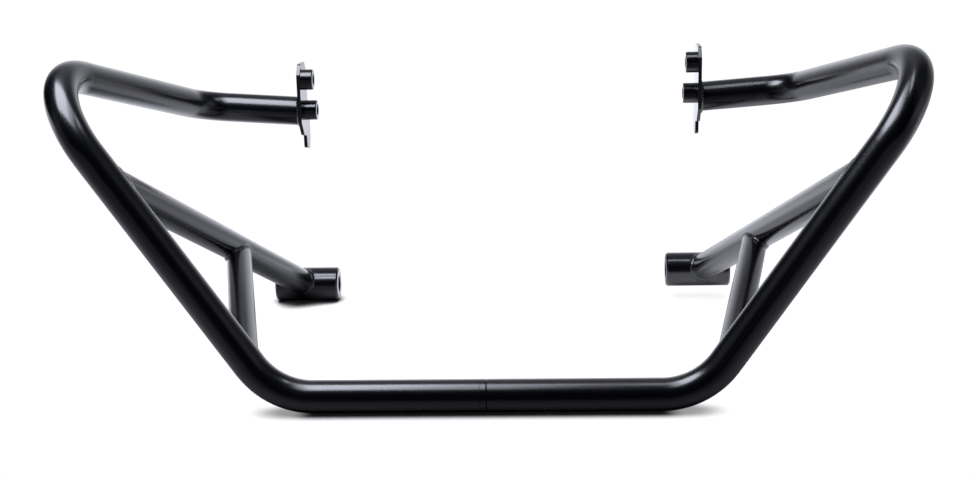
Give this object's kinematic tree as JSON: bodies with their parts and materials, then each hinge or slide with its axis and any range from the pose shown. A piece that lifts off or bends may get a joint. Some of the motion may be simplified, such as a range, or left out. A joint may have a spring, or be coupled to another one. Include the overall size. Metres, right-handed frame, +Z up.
{
  "type": "motorcycle crash bars",
  "caption": "Bent and welded steel tube crash bars in two halves joined on an inner sleeve, with bored bushes and spacer plates for bolting to a motorcycle frame.",
  "frame": {"origin": "on the floor under the middle of the part's bounding box", "axes": "+X towards the rider's left side (right in the picture), +Y to the rear of the motorcycle (away from the camera), +Z up"},
  "size_m": [0.6594, 0.364, 0.2654],
  "materials": {
    "powder_coat": "semi-gloss black powder coat",
    "turned_coat": "semi-gloss black powder coat on turned steel",
    "weld_coat": "semi-gloss black powder coat over rippled weld",
    "zinc_screw": "bright zinc plate"
  },
  "bodies": {
    "root": {"left_main_tube": "powder_coat", "left_brace_tube": "powder_coat", "left_gusset_tube": "powder_coat", "left_lower_bush": "turned_coat", "left_mount_plate": "powder_coat", "left_upper_spacer": "turned_coat", "left_lower_spacer": "turned_coat", "left_brace_weld": "weld_coat", "left_bush_weld": "weld_coat", "left_gusset_top_weld": "weld_coat", "left_gusset_foot_weld": "weld_coat", "left_plate_weld": "weld_coat", "right_main_tube": "powder_coat", "right_brace_tube": "powder_coat", "right_gusset_tube": "powder_coat", "right_lower_bush": "turned_coat", "right_mount_plate": "powder_coat", "right_upper_spacer": "turned_coat", "right_lower_spacer": "turned_coat", "right_brace_weld": "weld_coat", "right_bush_weld": "weld_coat", "right_gusset_top_weld": "weld_coat", "right_gusset_foot_weld": "weld_coat", "right_plate_weld": "weld_coat", "joint_insert": "turned_coat", "joint_screws": "zinc_screw"}
  },
  "joints": []
}
